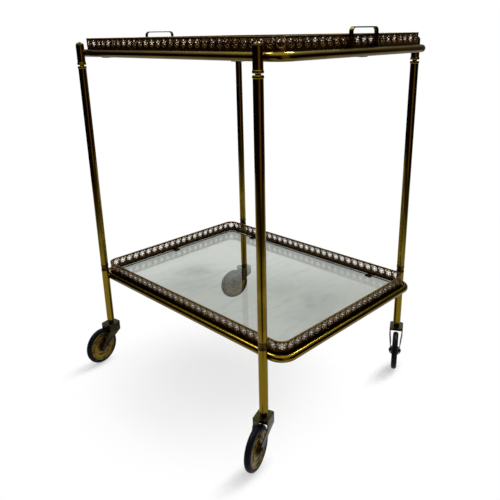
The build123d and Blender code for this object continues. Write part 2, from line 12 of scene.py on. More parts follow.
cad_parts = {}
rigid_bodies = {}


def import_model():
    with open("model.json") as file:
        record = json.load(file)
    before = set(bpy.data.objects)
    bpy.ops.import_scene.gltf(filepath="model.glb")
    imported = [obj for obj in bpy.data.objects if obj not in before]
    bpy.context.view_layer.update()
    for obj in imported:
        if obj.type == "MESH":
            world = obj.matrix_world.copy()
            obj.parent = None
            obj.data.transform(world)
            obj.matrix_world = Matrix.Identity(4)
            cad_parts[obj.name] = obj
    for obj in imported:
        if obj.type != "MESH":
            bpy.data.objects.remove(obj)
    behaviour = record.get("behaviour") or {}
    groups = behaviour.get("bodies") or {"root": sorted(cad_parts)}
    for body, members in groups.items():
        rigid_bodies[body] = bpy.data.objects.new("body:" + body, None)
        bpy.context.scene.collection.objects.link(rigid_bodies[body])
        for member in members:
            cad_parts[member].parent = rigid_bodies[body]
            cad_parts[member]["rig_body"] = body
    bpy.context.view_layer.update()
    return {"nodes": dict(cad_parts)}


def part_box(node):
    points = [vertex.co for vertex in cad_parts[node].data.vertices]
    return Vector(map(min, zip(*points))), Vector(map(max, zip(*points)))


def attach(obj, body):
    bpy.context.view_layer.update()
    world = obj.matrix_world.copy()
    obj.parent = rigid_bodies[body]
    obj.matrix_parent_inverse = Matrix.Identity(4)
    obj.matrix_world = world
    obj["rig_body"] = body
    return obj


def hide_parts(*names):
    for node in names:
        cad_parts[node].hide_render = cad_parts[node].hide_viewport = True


bl_info = {
    "name": "Bar cart looks",
    "version": (1, 0, 0),
    "blender": (4, 5, 0),
    "location": "View3D > Sidebar > Bar cart",
    "description": "Dresses the two-tier brass bar cart and sets its studio",
    "category": "Object",
}

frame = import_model()

MM = 0.001
WHITE = (1.0, 1.0, 1.0)
CORNERS = ("front_left", "front_right", "back_left", "back_right")
GALLERY_PARTS = ("left", "right", "front", "back", "corners")

# Scratches per metre along x, y and z: the same each way, or drawn out along an upright tube
EVEN_GRAIN = (300.0, 300.0, 300.0)
UPRIGHT_GRAIN = (420.0, 420.0, 9.0)

# Middle and reach of each darker patch on the lower glass
DARKER_PATCHES = (
    ((0.214, -0.046, 0.20), 0.075),
    ((0.190, 0.022, 0.20), 0.06),
    ((-0.091, -0.086, 0.20), 0.10),
)

# Level directions from the cart's middle: to the camera, and to the camera's right
TO_CAMERA = np.array([0.7044, -0.7098, 0.0])
TO_RIGHT = np.array([0.7098, 0.7044, 0.0])

# The collection that holds the pieces which the glint lamps leave alone
WITHOUT_GLINTS = "without_glints"


# Sizes and colours that a user may change


def length(name, description, default):
    """A size in metres that shows in the scene's own units."""
    return FloatProperty(
        name=name, description=description, default=default, min=0.0, unit="LENGTH", precision=5
    )


def share(name, description, default):
    """A plain amount from none to all."""
    return FloatProperty(
        name=name, description=description, default=default, min=0.0, max=1.0, subtype="FACTOR"
    )


def strength(name, description, default):
    """How strong a lamp is."""
    return FloatProperty(name=name, description=description, default=default, min=0.0)


def blur(name, description, default):
    """The angle that a lamp fills."""
    return FloatProperty(name=name, description=description, default=default, subtype="ANGLE")


def colour(name, description, default):
    """A linear colour."""
    return FloatVectorProperty(
        name=name, description=description, default=default, size=3, min=0.0, max=1.0, subtype="COLOR"
    )


class CartStageSettings(bpy.types.PropertyGroup):
    floor_tone: colour("Floor", "The floor where the lamps light it", (0.95, 0.95, 0.95))
    # Painted shadows on the floor: a patch before the cart and a streak behind each wheel, where the lamp-lit
    # matt floor shows instead of white
    floor_shade: share("Floor shadow", "How much of the floor's tone comes from the lamps", 0.56)
    streak: share("Wheel shadow", "The same share in the streak behind each wheel", 0.60)
    fill: strength("Fill", "Strength of the sky on matt surfaces", 0.68)
    sun: strength("Sun", "Strength of the sun above and behind the cart", 1.4)
    sun_blur: blur("Sun blur", "Angle that the sun fills", 0.50)
    glint: strength("Glint", "Strength of the lamps that only metal shows", 2.6)
    glint_blur: blur("Glint blur", "Angle that each of those lamps fills", 0.30)
    room_radius: length("Room's distance", "Radius of the dark room that the metal reflects", 1.9)
    room_height: length("Room's height", "Where the dark room gives way to the white ceiling", 3.4)
    floor_glow: share("Near floor in metal", "How bright metal sees the floor near the cart", 0.64)
    # Painted shadow: how much darker metal sees the floor under the cart
    floor_dark_under: share("Dark under the cart", "How much darker metal sees the floor there", 0.90)
    floor_back_glow: share("Back floor in metal", "How much brighter the far floor is behind", 0.60)
    floor_front_glow: share("Front floor in metal", "How bright the far floor is before the cart", 0.04)
    lens: FloatProperty(
        name="Lens", description="Focal length on a 36 mm sensor", default=40.575, unit="CAMERA"
    )


class CartBrassSettings(bpy.types.PropertyGroup):
    bright: colour("Bright brass", "Worn, polished brass", (0.245, 0.163, 0.010))
    deep: colour("Deep brass", "Brass under old lacquer", (0.125, 0.075, 0.005))
    patina: colour("Patina", "Brown tarnish in the recesses", (0.014, 0.006, 0.002))
    gallery: colour("Gallery brass", "Darkened brass of the pierced galleries", (0.098, 0.053, 0.018))
    # Partly wear and partly a painted highlight: the bright colour of the raised rings round the openings
    pressed: colour("Pressed brass", "Rubbed edges of the galleries' openings", (0.40, 0.25, 0.11))
    rim: colour("Rim brass", "Top bead of the galleries", (0.145, 0.085, 0.016))
    scratch_depth: length("Scratch depth", "Depth of the fine polishing scratches", 0.00003)
    pit_depth: length("Pit depth", "Depth of the pits and worn lacquer", 0.00005)


class CartGallerySettings(bpy.types.PropertyGroup):
    ring_crest: length("Ring crest", "Radius of the raised edge round each opening", 0.0071)
    ring_reach: length("Ring half width", "From the raised edge's crest to its foot", 0.0011)
    ring_rise: length("Ring rise", "How far the raised edge stands off the wall", 0.00042)
    ring_steps: IntProperty(name="Ring steps", description="Facets round each ring", default=14, min=8)


class CartGlassSettings(bpy.types.PropertyGroup):
    tint: colour("Glass tint", "Colour of daylight through the sheet", (0.75, 0.79, 0.73))
    shadow: colour("Glass shadow", "Colour of a lamp's light through each face", (0.97, 0.97, 0.97))
    edge: length("Ground edge", "Width of the ground and polished edge", 0.0006)


class CartCasterSettings(bpy.types.PropertyGroup):
    rubber: colour("Rubber", "Tyre rubber", (0.003, 0.0034, 0.006))
    metal: colour("Fork metal", "Sheet metal of the forks", (0.070, 0.058, 0.018))
    wheel: colour("Wheel brass", "Turned disc of each wheel", (0.25, 0.165, 0.028))
    steel: colour("Dark steel", "Stems, axles and pins", (0.045, 0.042, 0.038))
    ease: length("Eased edge", "Width of the eased edges on the turned parts", 0.00045)


SETTINGS = {
    "cart_stage": CartStageSettings,
    "cart_brass": CartBrassSettings,
    "cart_gallery": CartGallerySettings,
    "cart_glass": CartGlassSettings,
    "cart_casters": CartCasterSettings,
}


# Materials: arithmetic on node sockets


class Wire:
    """One output of a material's node, with arithmetic that adds the Math nodes it needs."""

    def __init__(self, sheet, socket):
        self.sheet = sheet
        self.socket = socket

    def math(self, operation, *values, clamp=False):
        settings = {"operation": operation, "use_clamp": clamp}
        return self.sheet.node("ShaderNodeMath", settings, dict(enumerate(values)))

    def __add__(self, other):
        return self.math("ADD", self, other)

    def __sub__(self, other):
        return self.math("SUBTRACT", self, other)

    def __rsub__(self, other):
        return self.math("SUBTRACT", other, self)

    def __mul__(self, other):
        return self.math("MULTIPLY", self, other)

    def __truediv__(self, other):
        return self.math("DIVIDE", self, other)

    __radd__ = __add__
    __rmul__ = __mul__

    def most(self, other):
        """The larger of the two."""
        return self.math("MAXIMUM", self, other)

    def held(self):
        """Kept from 0 to 1."""
        return self.math("ADD", self, 0.0, clamp=True)

    def rise(self, low, high):
        """A smooth step: 0 below low, 1 above high, and a smooth S between them."""
        sockets = {"Value": self, "From Min": low, "From Max": high}
        return self.sheet.node("ShaderNodeMapRange", {"interpolation_type": "SMOOTHSTEP"}, sockets)


class Sheet:
    """A node tree under construction, for a material, a lamp or the world."""

    def __init__(self, owner):
        owner.use_nodes = True
        self.tree = owner.node_tree
        self.tree.nodes.clear()

    def node(self, kind, settings=None, sockets=None, output=0):
        """Add a node: first its settings, then its sockets' values or links."""
        made = self.tree.nodes.new(kind)
        for key, value in (settings or {}).items():
            setattr(made, key, value)
        for key, value in (sockets or {}).items():
            socket = made.inputs[key]
            if isinstance(value, Wire):
                self.tree.links.new(value.socket, socket)
            elif socket.type == "RGBA" and len(value) == 3:
                socket.default_value = (*value, 1.0)
            else:
                socket.default_value = value
        return Wire(self, made.outputs[output] if made.outputs else None)

    def place(self):
        """Where a point is in the object's own space, which is the cart's."""
        return self.node("ShaderNodeTexCoord", output="Object")

    def uv(self):
        """Where a point is on the mesh's own grid."""
        return self.node("ShaderNodeTexCoord", output="UV")

    def part(self, vector, index):
        """One of a vector's three parts."""
        return self.node("ShaderNodeSeparateXYZ", {}, {0: vector}, index)

    def along(self, place, way):
        """How far a place lies from the cart's middle along a level direction."""
        return self.part(place, 0) * way[0] + self.part(place, 1) * way[1]

    def moved(self, vector, step):
        """The vector with a constant step added."""
        return self.node("ShaderNodeVectorMath", {"operation": "ADD"}, {0: vector, 1: step})

    def stretched(self, vector, x, y, z):
        """The vector with its three parts multiplied by x, y and z."""
        return self.node("ShaderNodeVectorMath", {"operation": "MULTIPLY"}, {0: vector, 1: (x, y, z)})

    def reach(self, vector):
        """How long a vector is."""
        return self.node("ShaderNodeVectorMath", {"operation": "LENGTH"}, {0: vector}, 1)

    def distance(self, place, centre):
        """How far a place is from a fixed point."""
        return self.node("ShaderNodeVectorMath", {"operation": "DISTANCE"}, {0: place, 1: centre}, 1)

    def noise(self, vector, scale, detail, roughness):
        """Soft noise from 0 to 1, with scale waves to the metre."""
        sockets = {"Vector": vector, "Scale": scale, "Detail": detail, "Roughness": roughness}
        return self.node("ShaderNodeTexNoise", {}, sockets)

    def blend(self, amount, first, second):
        """The first colour where amount is 0 and the second where it is 1."""
        return self.node("ShaderNodeMix", {"data_type": "RGBA"}, {0: amount, 6: first, 7: second}, 2)

    def bump(self, height, depth, normal=None):
        """A normal tilted as if the surface stood depth metres higher where height is 1."""
        sockets = {"Height": height, "Distance": depth, "Strength": 1.0}
        if normal is not None:
            sockets["Normal"] = normal
        return self.node("ShaderNodeBump", {}, sockets)

    def light_path(self, name):
        """What kind of ray asks, or how often it has bounced."""
        return self.node("ShaderNodeLightPath", output=name)

    def seen(self):
        """1 for rays from the camera, off metal and through glass, and 0 for those that light things."""
        seen = self.light_path("Is Camera Ray").most(self.light_path("Is Glossy Ray"))
        seen = seen.most(self.light_path("Is Transmission Ray"))
        return seen * (1.0 - self.light_path("Diffuse Depth")).held()

    def solid(self, sockets):
        """The shader of metal, rubber or glass itself."""
        return self.node("ShaderNodeBsdfPrincipled", {}, sockets)

    def clear(self, tone):
        """A shader that light passes straight through, tinted."""
        return self.node("ShaderNodeBsdfTransparent", {}, {"Color": tone})

    def glow(self, tone, amount):
        """A shader that gives light of its own."""
        return self.node("ShaderNodeEmission", {}, {"Color": tone, "Strength": amount})

    def between(self, amount, first, second):
        """The first shader where amount is 0 and the second where it is 1."""
        return self.node("ShaderNodeMixShader", {}, {0: amount, 1: first, 2: second})

    def finish(self, shader, kind="ShaderNodeOutputMaterial"):
        """Wire the shader to the output."""
        self.node(kind, {}, {"Surface": shader})


def material(name):
    """A new material and its empty sheet."""
    made = bpy.data.materials.new(name)
    return made, Sheet(made)


def shaded(tone, amount):
    """A linear colour dimmed to a share of itself, or raised above it."""
    return tuple(amount * part for part in tone)


def aged_brass(name, bright, deep, tarnish, rough, seed, grain=EVEN_GRAIN, lacquer=0.08, painted_shade=None):
    """Old brass. Soft clouds mix bright and deep brass, tarnish sets how much patina lies over them, and
    grain stretches the fine scratches along an axis. Roughness starts at rough, rises with stains and
    pits and falls where the metal is worn bright. What is left of the lacquer gives a second, clear shine.
    Two heights may be given for painted shade: below the first the metal is darkened towards the patina
    colour, and the darkening fades out up to the second."""
    settings = bpy.context.scene.cart_brass
    patina = tuple(settings.patina)
    made, sheet = material(name)
    place = sheet.moved(sheet.place(), (seed, seed / 2, seed / 3))
    cloud = sheet.noise(place, 26.0, 4.0, 0.6)
    blotch = sheet.noise(place, 95.0, 5.0, 0.68)
    speck = sheet.noise(place, 620.0, 3.0, 0.6)
    lines = sheet.noise(sheet.stretched(place, *grain), 1.0, 3.0, 0.6)
    worn = cloud.rise(0.40, 0.62)
    stain = (blotch * 0.7 + lines * 0.3).rise(0.66 - 0.34 * tarnish, 0.80 - 0.30 * tarnish)
    pits = speck.rise(0.60, 0.72)
    metal = sheet.blend(worn * 0.5 + 0.5, deep, bright)
    metal = sheet.blend(stain * (0.35 + 0.5 * tarnish), metal, patina)
    metal = sheet.blend(pits * (0.15 + 0.35 * tarnish), metal, patina)
    # Painted shade: below a given height the metal is darkened towards the patina colour
    if painted_shade is not None:
        dark_height, unshaded_height = painted_shade
        height = sheet.part(sheet.place(), 2)
        metal = sheet.blend(height.rise(unshaded_height, dark_height) * 0.85, metal, patina)
    scratched = sheet.bump(lines, settings.scratch_depth)
    shader = sheet.solid(
        {
            "Base Color": metal,
            "Metallic": 1.0,
            "Roughness": (stain * 0.16 + pits * 0.12 + lines * 0.08 - worn * 0.04 + rough).held(),
            "Normal": sheet.bump(blotch * 0.4 - pits * 0.6, settings.pit_depth, scratched),
            "Coat Weight": (lacquer - stain * 0.8 * lacquer).held(),
            "Coat Roughness": 0.08,
        }
    )
    sheet.finish(shader)
    return made


def turned_brass(name, metal, lines_across):
    """Turned sheet brass: fine rings follow the surface's own UV from hub to edge, dulled by blotches of
    tarnish, and darkened almost to black at the hub."""
    settings = bpy.context.scene.cart_brass
    patina = tuple(settings.patina)
    made, sheet = material(name)
    place = sheet.place()
    rings = sheet.noise(sheet.stretched(sheet.uv(), 3.0, lines_across, 1.0), 1.0, 4.0, 0.7)
    blotch = sheet.noise(place, 110.0, 5.0, 0.65)
    speck = sheet.noise(place, 700.0, 3.0, 0.6).rise(0.56, 0.70)
    stain = (blotch * 0.5 + rings * 0.5).rise(0.43, 0.60)
    along = sheet.part(sheet.uv(), 1)
    hub = along.rise(0.125, 0.095).most(along.rise(0.875, 0.905))
    base = sheet.blend(stain * 0.85, metal, patina)
    base = sheet.blend(speck * 0.35, base, patina)
    base = sheet.blend(hub * 0.9, base, patina)
    shader = sheet.solid(
        {
            "Base Color": base,
            "Metallic": 1.0,
            "Roughness": (stain * 0.18 + speck * 0.1 + rings * 0.12 + 0.26).held(),
            "Normal": sheet.bump(speck, settings.pit_depth, sheet.bump(rings, settings.scratch_depth)),
        }
    )
    sheet.finish(shader)
    return made


def dull_steel(name, metal, rust):
    """Unpolished steel with dust and a little rust in soft patches."""
    settings = bpy.context.scene.cart_brass
    made, sheet = material(name)
    place = sheet.place()
    blotch = sheet.noise(place, 140.0, 5.0, 0.65).rise(0.45, 0.68)
    speck = sheet.noise(place, 900.0, 3.0, 0.6)
    shader = sheet.solid(
        {
            "Base Color": sheet.blend(blotch * 0.6, metal, rust),
            "Metallic": 1.0,
            "Roughness": (blotch * 0.2 + speck * 0.15 + 0.3).held(),
            "Normal": sheet.bump(speck, settings.pit_depth),
        }
    )
    sheet.finish(shader)
    return made


def tyre_rubber(name, rubber, dusty, scuffed):
    """Hard black rubber: grey scuffs along the tread and a dusty bloom."""
    made, sheet = material(name)
    place = sheet.place()
    dust = sheet.noise(place, 70.0, 5.0, 0.6).rise(0.45, 0.75)
    grain = sheet.noise(place, 1200.0, 2.0, 0.5)
    scuff = sheet.noise(sheet.stretched(sheet.uv(), 60.0, 9.0, 1.0), 1.0, 4.0, 0.7).rise(0.58, 0.74)
    base = sheet.blend(dust * 0.5, rubber, dusty)
    base = sheet.blend(scuff * 0.35, base, scuffed)
    shader = sheet.solid(
        {
            "Base Color": base,
            "Roughness": (dust * 0.15 + scuff * 0.15 + grain * 0.08 + 0.30).held(),
            "Specular IOR Level": 0.07,
            "Normal": sheet.bump(grain + scuff, 0.00008),
        }
    )
    sheet.finish(shader)
    return made


def clear_glass(name, tint, shadow):
    """Old plate glass: a faint tint, and smears and darker patches that dull it a little. Lamps pass
    through it, dimmed by the shadow colour at each face."""
    made, sheet = material(name)
    place = sheet.place()
    cloud = sheet.noise(place, 6.5, 4.0, 0.6).rise(0.46, 0.66)
    smear = sheet.noise(sheet.stretched(place, 60.0, 14.0, 20.0), 1.0, 4.0, 0.65).rise(0.45, 0.70)
    # Darker patches: the tint is dimmed most at each listed middle
    worn = 0.0
    for centre, reach in DARKER_PATCHES:
        patch = sheet.distance(place, centre).rise(reach, 0.2 * reach)
        worn = worn + patch * (0.35 + cloud * 0.65)
    dull = (worn * 0.85 + cloud * 0.2 + smear * 0.2).held()
    glass = sheet.solid(
        {
            "Base Color": sheet.blend(dull, tint, shaded(tint, 0.66)),
            "Roughness": smear * 0.03 + 0.012,
            "IOR": 1.6,
            "Transmission Weight": 1.0,
        }
    )
    sheet.finish(sheet.between(sheet.light_path("Is Shadow Ray"), glass, sheet.clear(shadow)))
    return made


# Shapes: surfaces worked out as whole arrays


def grid_quads(rows, columns, wrap_rows):
    """Quads between neighbouring points of a grid whose columns close on themselves, and each corner's
    place on the grid as a share of its height and width."""
    last_row = rows if wrap_rows else rows - 1
    row, column = np.meshgrid(np.arange(last_row), np.arange(columns), indexing="ij")
    row = np.stack([row, row, row + 1, row + 1], -1).reshape(-1, 4)
    column = np.stack([column, column + 1, column + 1, column], -1).reshape(-1, 4)
    quads = (row % rows) * columns + column % columns
    uv = np.stack([column / columns, row / last_row], -1)
    return quads, uv.reshape(-1, 2)


def enclosed(points, quads):
    """Six times the volume that the quads enclose, below zero where they face inwards."""
    a, b, c, d = (points[quads[:, i]] for i in range(4))
    return float(np.einsum("ij,ij->", a, np.cross(b, c)) + np.einsum("ij,ij->", a, np.cross(c, d)))


def grid_mesh(name, points, quads, uv):
    """A mesh of the points, the quads and the uv of each quad's corners."""
    mesh = bpy.data.meshes.new(name)
    mesh.from_pydata(points.tolist(), [], quads.tolist())
    mesh.uv_layers.new(name="UVMap").data.foreach_set("uv", uv.astype(np.float32).ravel())
    return mesh


def new_piece(name, points, quads, uv, body, finish, crease=35.0):
    """A piece of the points and quads, turned to face outwards, that rides on a body."""
    if enclosed(points - points.mean(0), quads) < 0:
        quads = quads[:, ::-1]
        uv = uv.reshape(-1, 4, 2)[:, ::-1].reshape(-1, 2)
    return dressed(name, grid_mesh(name, points, quads, uv), body, finish, crease)


def dressed(name, mesh, body, finish, crease):
    """An object for a mesh: doubles merged, smooth but for creases, with its finish and body."""
    welded = bmesh.new()
    welded.from_mesh(mesh)
    bmesh.ops.remove_doubles(welded, verts=welded.verts, dist=1e-6)
    bmesh.ops.dissolve_degenerate(welded, edges=welded.edges, dist=1e-7)
    welded.to_mesh(mesh)
    welded.free()
    mesh.polygons.foreach_set("use_smooth", np.ones(len(mesh.polygons), bool))
    mesh.set_sharp_from_angle(angle=math.radians(crease))
    mesh.materials.append(finish)
    made = bpy.data.objects.new(name, mesh)
    bpy.context.scene.collection.objects.link(made)
    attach(made, body)
    return made


def eased(points, reach, steps=4):
    """A closed outline with each corner P between A and B turned into a parabola: from P a little towards
    A, by way of P, to P a little towards B, where the little is reach or at most 0.45 of that side."""
    corner = np.asarray(points, float)
    before = np.roll(corner, 1, 0) - corner
    after = np.roll(corner, -1, 0) - corner
    long_before = np.linalg.norm(before, axis=1, keepdims=True)
    long_after = np.linalg.norm(after, axis=1, keepdims=True)
    start = corner + before * np.minimum(reach / long_before, 0.45)
    end = corner + after * np.minimum(reach / long_after, 0.45)
    t = np.linspace(0.0, 1.0, steps)[None, :, None]
    curve = start[:, None] * (1 - t) ** 2 + corner[:, None] * 2 * t * (1 - t) + end[:, None] * t**2
    return curve.reshape(-1, 2)


def turned(outline, centre, axis, steps):
    """A closed outline of (along, radius) points carried round an axis: each point goes to the centre,
    plus along times the axis, plus radius times a unit vector that turns once about it."""
    axis = np.asarray(axis, float) / np.linalg.norm(axis)
    side = np.cross(axis, (0.0, 0.0, 1.0))
    side = side / np.linalg.norm(side)
    up = np.cross(axis, side)
    angle = np.linspace(0.0, 2 * math.pi, steps, endpoint=False)[None, :, None]
    along, radius = outline[:, 0, None, None], outline[:, 1, None, None]
    points = np.asarray(centre) + axis * along + radius * (np.cos(angle) * side + np.sin(angle) * up)
    quads, uv = grid_quads(len(outline), steps, True)
    return points.reshape(-1, 3), quads, uv


def rounded_path(half_x, half_y, bend, steps):
    """Points and outward unit vectors along a rounded rectangle: each corner is a quarter turn about its
    centre, and the straight runs join one quarter's end to the next one's start."""
    turn = np.linspace(0.0, math.pi / 2, steps)[None, :] + np.arange(4)[:, None] * math.pi / 2
    outward = np.stack([np.cos(turn), np.sin(turn)], -1)
    sign = np.array([(1, 1), (-1, 1), (-1, -1), (1, -1)], float)[:, None]
    centre = sign * np.array([half_x - bend, half_y - bend])
    return (centre + bend * outward).reshape(-1, 2), outward.reshape(-1, 2)


def carried(section, path, outward, height):
    """A closed section of (out, up) points carried along a closed level path: each point moves out along
    the path's outward direction and up from the given height."""
    out, up = section[None, :, 0, None], section[None, :, 1, None]
    flat = path[:, None] + out * outward[:, None]
    level = np.broadcast_to(height + up, (len(path), len(section), 1))
    points = np.concatenate([flat, level], -1)
    quads, uv = grid_quads(len(path), len(section), True)
    return points.reshape(-1, 3), quads, uv


def round_section(radius, steps):
    """A circle: radius times the cosine and sine of an angle that goes once round."""
    angle = np.linspace(0.0, 2 * math.pi, steps, endpoint=False)
    return radius * np.stack([np.cos(angle), np.sin(angle)], -1)


def smoother_copy(node, name, width, finish):
    """A CAD node's shape with its triangles merged back to whole faces and its edges eased by a bevel."""
    source = frame["nodes"][node]
    mesh = source.data.copy()
    mesh.materials.clear()
    merged = bmesh.new()
    merged.from_mesh(mesh)
    bmesh.ops.remove_doubles(merged, verts=merged.verts, dist=2e-6)
    bmesh.ops.dissolve_limit(
        merged, angle_limit=math.radians(0.6), verts=merged.verts, edges=merged.edges
    )
    merged.to_mesh(mesh)
    merged.free()
    for attribute in ("custom_normal", "sharp_edge", "sharp_face"):
        if attribute in mesh.attributes:
            mesh.attributes.remove(mesh.attributes[attribute])
    made = dressed(name, mesh, source["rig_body"], finish, 40.0)
    bevel = made.modifiers.new("Eased edges", "BEVEL")
    bevel.width = width
    bevel.segments = 2
    bevel.limit_method = "ANGLE"
    bevel.angle_limit = math.radians(38.0)
    bevel.harden_normals = True
    bevel.use_clamp_overlap = True
    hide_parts(node)
    return made


def coat(finish, *nodes):
    """Give CAD nodes that keep their own shape a finish."""
    for node in nodes:
        for held in frame["nodes"][node].material_slots:
            held.material = finish


def node_centre(node):
    """The middle of a CAD node's box."""
    low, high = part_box(node)
    return (np.array(low) + np.array(high)) / 2


def brass_colours(scene):
    """Bright brass, deep brass and patina."""
    settings = scene.cart_brass
    return tuple(settings.bright), tuple(settings.deep), tuple(settings.patina)


# Operators: one for each group of like pieces, and one for the stage


class CART_OT_rails(bpy.types.Operator):
    """Sweep the two bent rails in aged brass"""

    bl_idname = "cart.rails"
    bl_label = "Rails"

    # Radius of the bends along the tube's middle, and the steps round each bend and round the tube
    BEND = 0.027
    BEND_STEPS = 20
    TUBE_STEPS = 40
    GRAIN = (260.0, 260.0, 260.0)
    # Painted shade on each rail's underside: how many tube radii below its middle the metal is darkest, and
    # how many above it the darkening has faded out
    DARK = {"lower_rail": 2.5, "upper_rail": 1.6}
    UNSHADED_ABOVE = 0.3

    def execute(self, context):
        bright, deep, _ = brass_colours(context.scene)
        for node, dark in self.DARK.items():
            low, high = (np.array(corner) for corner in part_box(node))
            radius = (high[2] - low[2]) / 2
            middle = (low[2] + high[2]) / 2
            painted_shade = (middle - dark * radius, middle + self.UNSHADED_ABOVE * radius)
            finish = aged_brass(
                f"{node}_brass", bright, deep,
                tarnish=0.12, rough=0.12, seed=0.0, grain=self.GRAIN, painted_shade=painted_shade,
            )
            half = (high - low)[:2] / 2 - radius
            path, outward = rounded_path(half[0], half[1], self.BEND, self.BEND_STEPS)
            section = round_section(radius, self.TUBE_STEPS)
            points, quads, uv = carried(section, path, outward, middle)
            rail = new_piece(f"{node}_tube", points, quads, uv, "frame", finish)
            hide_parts(node)
        return {"FINISHED"}


class CART_OT_legs(bpy.types.Operator):
    """Finish the legs: bright stubs below, dark collars, tubes, sleeves and caps"""

    bl_idname = "cart.legs"
    bl_label = "Legs"

    def execute(self, context):
        bright, deep, patina = brass_colours(context.scene)
        tube = aged_brass(
            "leg_brass", bright, deep, tarnish=0.12, rough=0.10, seed=1.7, grain=UPRIGHT_GRAIN
        )
        stub = aged_brass(
            "lower_leg_brass", bright, bright,
            tarnish=0.12, rough=0.13, seed=3.1, grain=UPRIGHT_GRAIN, lacquer=0.0,
        )
        collar = aged_brass(
            "collar_metal", deep, patina, tarnish=0.55, rough=0.26, seed=4.9, lacquer=0.04
        )
        # The caps: a dark copy of the bright brass, painted shade standing in for the dark reflection on the
        # domes
        cap = aged_brass("cap_brass", shaded(bright, 0.25), patina, tarnish=0.34, rough=0.20, seed=5.3)
        coat(tube, *[f"leg_{part}_{corner}" for part in ("tube", "sleeve") for corner in CORNERS])
        coat(cap, "leg_caps")
        coat(stub, *[f"leg_stub_{corner}" for corner in CORNERS])
        coat(collar, "leg_collars")
        return {"FINISHED"}


class CART_OT_galleries(bpy.types.Operator):
    """Finish the pierced galleries and raise a pressed edge round each opening"""

    bl_idname = "cart.galleries"
    bl_label = "Galleries"

    # The wall's thickness and the outer radius of its corners
    WALL = 0.0015
    BEND = {"lower": 0.01995, "tray": 0.0194}
    # The rings: their middle over the wall's foot, how deep their edges sink into it, and their pitch
    RING_OVER_FOOT = 0.0245
    RING_SINK = 0.00025
    PITCH = 0.018
    # How far the corner piece runs on along each side, and the rings it holds
    CORNER_TAIL = 0.0114
    CORNER_RINGS = 3
    # Heights over the foot between which the band's painted shade, darkest near the foot, fades out below the
    # openings
    FOOT_SHADE = (0.0115, 0.0165)
    # Painted light: the tray's gallery and its rings are a lighter copy of the lower gallery's brass
    PAINTED_LIGHT_LIFT = {"lower": 1.0, "tray": 2.5}

    def execute(self, context):
        look = context.scene.cart_brass
        bead = tuple(look.rim)
        rim = aged_brass(
            "rim_brass", bead, shaded(bead, 0.5), tarnish=0.36, rough=0.40, seed=8.9, lacquer=0.0
        )
        for tier, body in (("lower", "frame"), ("tray", "tray")):
            lift = self.PAINTED_LIGHT_LIFT[tier]
            tone = shaded(look.gallery, lift)
            edge = shaded(look.pressed, 0.5 + 0.5 * lift)
            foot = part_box(f"{tier}_gallery_corners")[0][2]
            painted_shade = tuple(foot + height for height in self.FOOT_SHADE)
            wall = aged_brass(
                f"{tier}_gallery_brass", tone, shaded(tone, 0.6),
                tarnish=0.62, rough=0.26, seed=6.3, lacquer=0.04, painted_shade=painted_shade,
            )
            # The raised rings: brass partly worn bright and partly given a painted highlight
            pressed = aged_brass(
                f"{tier}_pressed_brass", edge, shaded(edge, 0.5),
                tarnish=0.30, rough=0.24, seed=7.7, lacquer=0.04,
            )
            coat(wall, *[f"{tier}_gallery_{part}" for part in GALLERY_PARTS])
            coat(rim, f"{tier}_gallery_rim")
            self.raise_rings(context.scene.cart_gallery, tier, body, pressed)
        return {"FINISHED"}

    def raise_rings(self, settings, tier, body, finish):
        """Give every opening its ring, on both faces of the wall, all in one piece."""
        low, high = (np.array(corner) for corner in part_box(f"{tier}_gallery_corners"))
        half = (high - low)[:2] / 2
        bend = self.BEND[tier]
        ring_z = low[2] + self.RING_OVER_FOOT
        shape, quads, uv = self.ring_shape(settings)
        clouds = self.rings_on_sides(shape, half, bend, ring_z)
        clouds += self.rings_on_diagonals(shape, half, bend, ring_z)
        rings = np.concatenate(clouds)
        all_quads = (quads[None] + len(shape) * np.arange(len(rings))[:, None, None]).reshape(-1, 4)
        volume = np.array([enclosed(ring - ring.mean(0), quads) for ring in rings])
        flipped = np.repeat(volume < 0, len(quads))
        all_quads[flipped] = all_quads[flipped][:, ::-1]
        name = f"{tier}_gallery_rings"
        mesh = grid_mesh(name, rings.reshape(-1, 3), all_quads, np.tile(uv, (len(rings), 1)))
        dressed(name, mesh, body, finish, 80.0)

    def ring_shape(self, settings):
        """One ring's points as along, up and out from its middle: a three-sided section, sunk in the
        wall at its two feet, carried round a circle."""
        steps = settings.ring_steps
        angle = np.linspace(0.0, 2 * math.pi, steps, endpoint=False)
        radius = settings.ring_crest + settings.ring_reach * np.array([1.0, 0.0, -1.0])
        rise = np.array([-self.RING_SINK, settings.ring_rise, -self.RING_SINK])
        along = radius[:, None] * np.cos(angle)
        up = radius[:, None] * np.sin(angle)
        out = np.broadcast_to(rise[:, None], along.shape)
        quads, uv = grid_quads(3, steps, True)
        return np.stack([along, up, out], -1).reshape(-1, 3), quads, uv

    def rings_on_sides(self, shape, half, bend, ring_z):
        """Rings along the four straight sides, one pitch apart, and one beside each corner's diagonal."""
        clouds = []
        straight = 2 * (half - bend - self.CORNER_TAIL)
        quarter = bend * math.pi / 2
        corner_pitch = (quarter + 2 * self.CORNER_TAIL) / self.CORNER_RINGS
        beside_diagonal = half - bend + quarter / 2 - corner_pitch
        for axis in (0, 1):
            count = round(straight[axis] / self.PITCH)
            pitch = straight[axis] / count
            middle = (np.arange(count) - (count - 1) / 2) * pitch
            middle = np.append(middle, [-beside_diagonal[axis], beside_diagonal[axis]])
            for side in (-1.0, 1.0):
                for face, sense in ((half[1 - axis], 1.0), (half[1 - axis] - self.WALL, -1.0)):
                    run = middle[:, None] + shape[None, :, 0]
                    depth = np.broadcast_to(side * (face + sense * shape[:, 2]), run.shape)
                    pair = (run, depth) if axis == 0 else (depth, run)
                    level = np.broadcast_to(ring_z + shape[:, 1], run.shape)
                    clouds.append(np.stack([*pair, level], -1))
        return clouds

